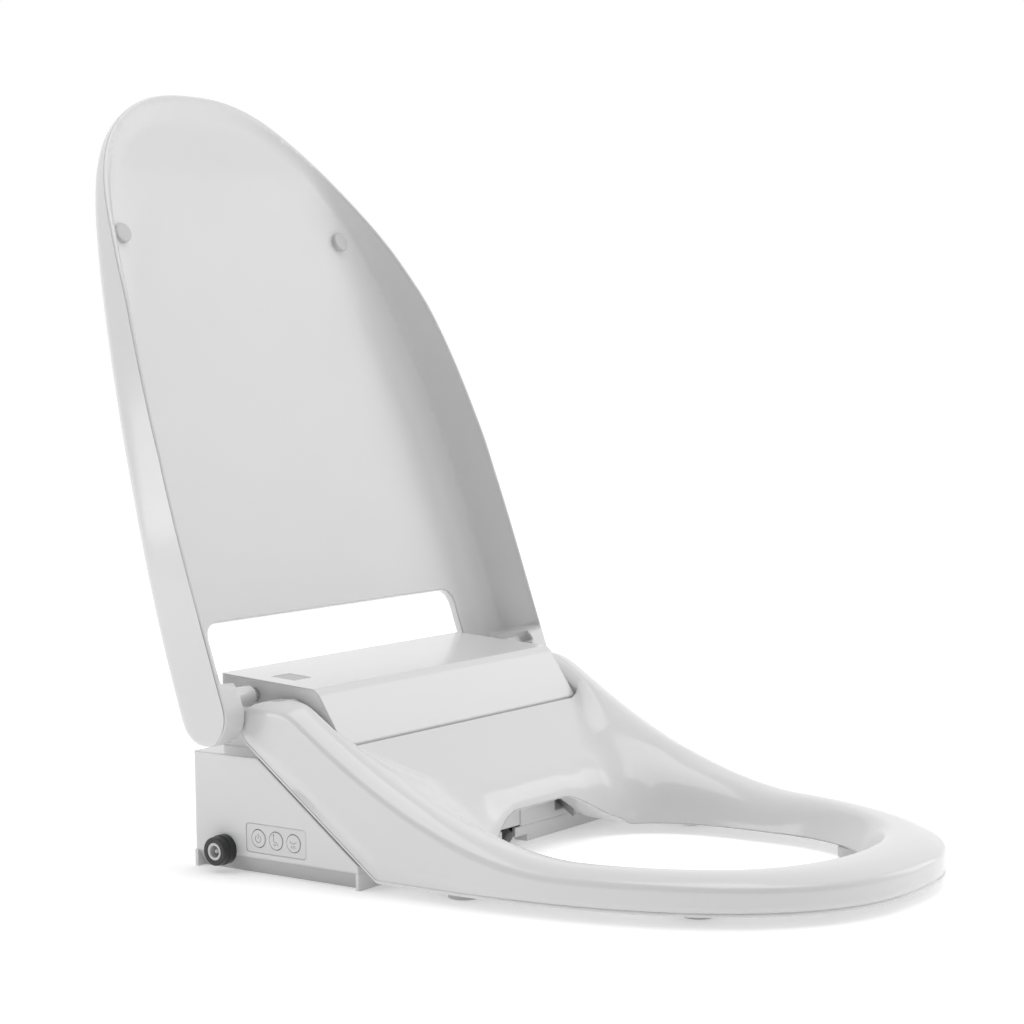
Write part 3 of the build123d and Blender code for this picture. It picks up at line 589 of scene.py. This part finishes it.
def lid():
    ends = [(HALF_LID * math.sin(a) ** (2 / LID_N),
            -LID_UC - (LID_LEN - LID_UC) * max(0.0, math.cos(a)) ** (2 / LID_N))
            for a in np.linspace(0, math.pi / 2, 200)]
    rear = -(LEG_U - LEG_R) - 0.05
    corner = [(HALF_LID, rear), (LEG_X, rear), (LEG_X, -1.0), (CUT_X, -1.0), (CUT_X, -CUT_U)]
    poly = ends + corner + [(-x, y) for x, y in reversed(corner)] + [(-x, y) for x, y in reversed(ends[1:])]
    rad = [5.0, 2.0, 2.0, 5.0, 14.0]
    radii = [0.0] * len(ends) + rad + rad[::-1] + [0.0] * (len(ends) - 1)
    outer = resample(round_corners(poly, radii), 2.6)
    sh = Shell()
    t1, b1 = edge_loops(sh, len(outer), lambda i, z: tuple(outer[i]), loop_normals(outer), lid_out, lid_in,
                        6.5, 1.5, 0.0, (0, 0))
    rows = [(s * x, -(LEG_U - LEG_R * math.sin(math.radians(p)))) for p in range(5, 88, 5)
            for x in np.arange(182, 202, 2.6) for s in (-1, 1)]
    steep = []
    for d in (3.6, 4.4, 5.4, 6.6, 7.8, 9.2, 10.4, 11.6, 13.4, 16.0):
        k = 1 - d / HALF_LID
        steep += [(x * k, -LID_UC + (y + LID_UC) * k) for x,
                y in resample(ends + [(-x, y) for x, y in ends[::-1]], 3.0)
                  if y < -LID_UC - 1]
        steep += [(s * HALF_LID * k, y) for y in np.arange(-LID_UC, -16.0, 3.0) for s in (-1, 1)]
    steep += [(s * x, y) for x in (179.9, 180.7, 181.5) for y in np.arange(-17, -3, 2.0) for s in (-1, 1)]
    steep += [(s * x, y) for x in np.arange(183, 199, 2.6) for y in np.arange(-17, -8,
            1.1) for s in (-1, 1)]
    sh.cap([t1], rows, lid_out, 4.2, True, 0)
    sh.cap([b1], rows + steep, lid_in, 3.6, False, 1)
    lean = math.radians(-LID_LEAN)
    c, s = math.cos(lean), math.sin(lean)

    def place(p):
        return (p[0] * MM, (30.0 + p[1] * c - p[2] * s) * MM, (127.0 + p[1] * s + p[2] * c) * MM)

    made = sh.build(place, ["lid_outer_skin", "lid_inner_skin"], ["skin_gloss", "skin_satin"], "lid",
                    [["lid_shell"], ["lid_inner_panel"]])
    for side in (-1, 1):
        lathe("lid_hub_" + ("left" if side < 0 else "right"),
              [(152.5, 0), (152.5, 6.4), (153.2, 7.6), (154.4, 8.0), (176.0, 8.0), (181.6, 8.6),
                      (182.4, 8.6)],
              side, (30.0, 127.0), "white_gloss", "lid")
    return made


def lathe(name, profile, side, centre, mat, body, steps=40):
    """Solid of revolution about a line along X through centre (y, z); profile is (x, radius)."""
    bm = bmesh.new()
    rings = []
    for x, r in profile:
        if r == 0:
            rings.append([bm.verts.new((side * x * MM, centre[0] * MM, centre[1] * MM))])
            continue
        turn = [2 * math.pi * k / steps for k in range(steps)]
        rings.append([bm.verts.new((side * x * MM, (centre[0] + r * math.cos(a)) * MM,
                                    (centre[1] + r * math.sin(a)) * MM)) for a in turn])
    for a, b in zip(rings, rings[1:]):
        for k in range(steps):
            j = (k + 1) % steps
            if len(a) == 1:
                bm.faces.new((a[0], b[k], b[j]))
            elif len(b) == 1:
                bm.faces.new((a[k], a[j], b[0]))
            else:
                bm.faces.new((a[k], b[k], b[j], a[j]))
    bmesh.ops.recalc_face_normals(bm, faces=bm.faces)
    me = bpy.data.meshes.new(name)
    bm.to_mesh(me)
    for p in me.polygons:
        p.use_smooth = True
    ob = bpy.data.objects.new(name, me)
    bpy.context.collection.objects.link(ob)
    me.materials.append(MATS[mat])
    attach(ob, body)
    return ob


seat()
lid()


# ---- small printed and moulded details ------------------------------------------
def ribbons(name, lines, centre, face_x, width, body, mat="print_grey"):
    """Flat printed lines on a face that looks along -X; each line is (points, closed) in (right, up) mm."""
    bm = bmesh.new()
    for pts, closed in lines:
        p = np.array(pts, float)
        k = len(p)
        nxt = np.roll(p, -1, 0) if closed else np.r_[p[1:], p[-1:] * 2 - p[-2:-1]]
        prv = np.roll(p, 1, 0) if closed else np.r_[p[:1] * 2 - p[1:2], p[:-1]]
        d = nxt - prv
        d /= np.hypot(d[:, 0], d[:, 1])[:, None]
        n = np.c_[-d[:, 1], d[:, 0]] * width / 2
        rows = []
        for i in range(k):
            row = []
            for sgn, lift in ((-1, 0.0), (-0.8, 0.07), (0.8, 0.07), (1, 0.0)):
                h, v = p[i] + n[i] * sgn
                row.append(bm.verts.new(((face_x - 0.01 - lift) * MM, (centre[0] - h) * MM,
                        (centre[1] + v) * MM)))
            rows.append(row)
        for i in range(k if closed else k - 1):
            a, b = rows[i], rows[(i + 1) % k]
            for c in range(3):
                bm.faces.new((a[c], a[c + 1], b[c + 1], b[c]))
    bmesh.ops.recalc_face_normals(bm, faces=bm.faces)
    me = bpy.data.meshes.new(name)
    bm.to_mesh(me)
    ob = bpy.data.objects.new(name, me)
    bpy.context.collection.objects.link(ob)
    me.materials.append(MATS[mat])
    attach(ob, body)
    return ob


def arc(cx, cy, r, a0, a1, count=28):
    return [(cx + r * math.cos(math.radians(a)),
            cy + r * math.sin(math.radians(a))) for a in np.linspace(a0, a1, count)]


def buttons():
    glyphs = {
        "power": [(arc(0, -0.2, 2.7, 125, 415), False), ([(0, 0.2), (0, 3.6)], False)],
        "rear_wash": [([(-1.9, 3.6), (-1.9, 2.6), (-1.8, -0.2), (-1.2, -0.9), (0.6, -1.1), (1.2, -1.6),
                        (2.3, -3.6)], False),
                      (arc(-1.9, 4.2, 0.5, 0, 360, 13)[:-1], True),
                      ([(-1.9, -2.3), (-1.1, -3.7)], False), ([(-0.5, -2.2), (0.0, -3.4)], False)],
        "front_wash": [(arc(0, 3.6, 3.7, 214, 326), False), ([(0, -1.5), (0, -3.9)], False),
                       ([(-1.2, -1.6), (-1.9, -3.4)], False), ([(1.2, -1.6), (1.9, -3.4)], False)],
    }
    for key, body in (("power", "power_button"), ("rear_wash", "rear_wash_button"),
                      ("front_wash", "front_wash_button")):
        lo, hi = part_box("button_" + key)
        centre = ((lo.y + hi.y) / 2 / MM, (lo.z + hi.z) / 2 / MM)
        ribbons("print_icon_" + key, glyphs[key], centre, lo.x / MM, 0.46, body)


def inlet_pin():
    lo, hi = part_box("inlet_collar")
    centre = ((lo.y + hi.y) / 2 / MM, (lo.z + hi.z) / 2 / MM)
    profile = [(181.0, 0), (181.0, 2.6), (182.2, 2.4), (183.0, 1.7), (188.6, 1.6), (189.4, 1.1), (189.7, 0)]
    lathe("inlet_centre_pin", profile, -1, centre, "inlet_white", "base")


buttons()
inlet_pin()


# ---- stage, light, camera ----------------------------------------------------
def backdrop():
    """Plain pale floor, wide enough to meet the background."""
    m, nt, bsdf = new_mat("floor")
    n, l = nt.nodes, nt.links
    geo = n.new("ShaderNodeTexCoord")
    tex = n.new("ShaderNodeTexNoise")
    tex.inputs["Scale"].default_value = 3.0
    l.new(geo.outputs["Object"], tex.inputs["Vector"])
    rr = n.new("ShaderNodeMapRange")
    rr.inputs["To Min"].default_value, rr.inputs["To Max"].default_value = 0.925, 0.935
    l.new(tex.outputs["Fac"], rr.inputs["Value"])
    l.new(rr.outputs["Result"], bsdf.inputs["Base Color"])
    bsdf.inputs["Roughness"].default_value = 0.9
    bsdf.inputs["Specular IOR Level"].default_value = 0.1
    bsdf.inputs["Emission Color"].default_value = (1, 1, 1, 1)
    bsdf.inputs["Emission Strength"].default_value = 0.3
    bm = bmesh.new()
    bmesh.ops.create_circle(bm, cap_ends=True, segments=96, radius=40.0)
    me = bpy.data.meshes.new("floor")
    bm.to_mesh(me)
    ob = bpy.data.objects.new("floor", me)
    bpy.context.collection.objects.link(ob)
    me.materials.append(m)


def studio_world(away, low):
    """White surround, dimmer towards one side so that the forms turn; seen directly it is plain white."""
    world = bpy.data.worlds.new("studio")
    bpy.context.scene.world = world
    world.use_nodes = True
    n, l = world.node_tree.nodes, world.node_tree.links
    coord = n.new("ShaderNodeTexCoord")
    dot = n.new("ShaderNodeVectorMath")
    dot.operation = "DOT_PRODUCT"
    dot.inputs[1].default_value = Vector(away).normalized()
    l.new(coord.outputs["Generated"], dot.inputs[0])
    fall = n.new("ShaderNodeMapRange")
    fall.interpolation_type = "SMOOTHSTEP"
    fall.inputs["From Min"].default_value, fall.inputs["From Max"].default_value = -0.35, 0.85
    fall.inputs["To Min"].default_value, fall.inputs["To Max"].default_value = 1.02, low
    l.new(dot.outputs["Value"], fall.inputs["Value"])
    seen = n.new("ShaderNodeLightPath")
    mix = n.new("ShaderNodeMix")
    mix.data_type = "FLOAT"
    l.new(seen.outputs["Is Camera Ray"], mix.inputs[0])
    l.new(fall.outputs["Result"], mix.inputs[2])
    mix.inputs[3].default_value = 1.0
    l.new(mix.outputs[0], n["Background"].inputs["Strength"])
    n["Background"].inputs["Color"].default_value = (1, 1, 1, 1)


def area(name, loc, target, size, power):
    d = bpy.data.lights.new(name, "AREA")
    d.shape = "RECTANGLE"
    d.size, d.size_y = size
    d.energy = power
    o = bpy.data.objects.new(name, d)
    bpy.context.collection.objects.link(o)
    o.location = loc
    o.rotation_euler = (Vector(target) - Vector(loc)).to_track_quat("-Z", "Y").to_euler()


DIM_SIDE, DIM_LEVEL = (-1.0, -0.35, 0.0), 0.30
backdrop()
studio_world(DIM_SIDE, DIM_LEVEL)
area("key_top", (0.3, -0.2, 2.4), (0, -0.1, 0.2), (1.6, 1.6), 12.0)
area("rear_left", (-2.2, 1.6, 0.9), (0, 0.05, 0.25), (1.2, 1.6), 14.0)
area("lid_fill", (-0.5, -1.7, 1.0), (0.16, 0.14, 0.40), (0.3, 0.3), 0.25)
area("right", (2.4, -1.4, 1.2), (0, -0.1, 0.2), (1.2, 1.8), 8.0)

bpy.context.scene.view_settings.view_transform = "Standard"
cam = bpy.data.objects.new("camera", bpy.data.cameras.new("camera"))
bpy.context.collection.objects.link(cam)
right = Vector((0.5912, -0.8064, -0.0150)).normalized()
ahead = Vector((0.8040, 0.5907, -0.0684)).normalized()
up = right.cross(ahead).normalized()
right = ahead.cross(up).normalized()
EYE, LENS_MM, SENSOR_MM = (-1.4345, -1.1567, 0.380), 82.6, 36.0
cam.matrix_world = Matrix.Translation(EYE) @ Matrix((right, up, -ahead)).transposed().to_4x4()
cam.data.sensor_width = SENSOR_MM
cam.data.lens = LENS_MM
cam.data.clip_start, cam.data.clip_end = 0.05, 60.0
bpy.context.scene.camera = cam
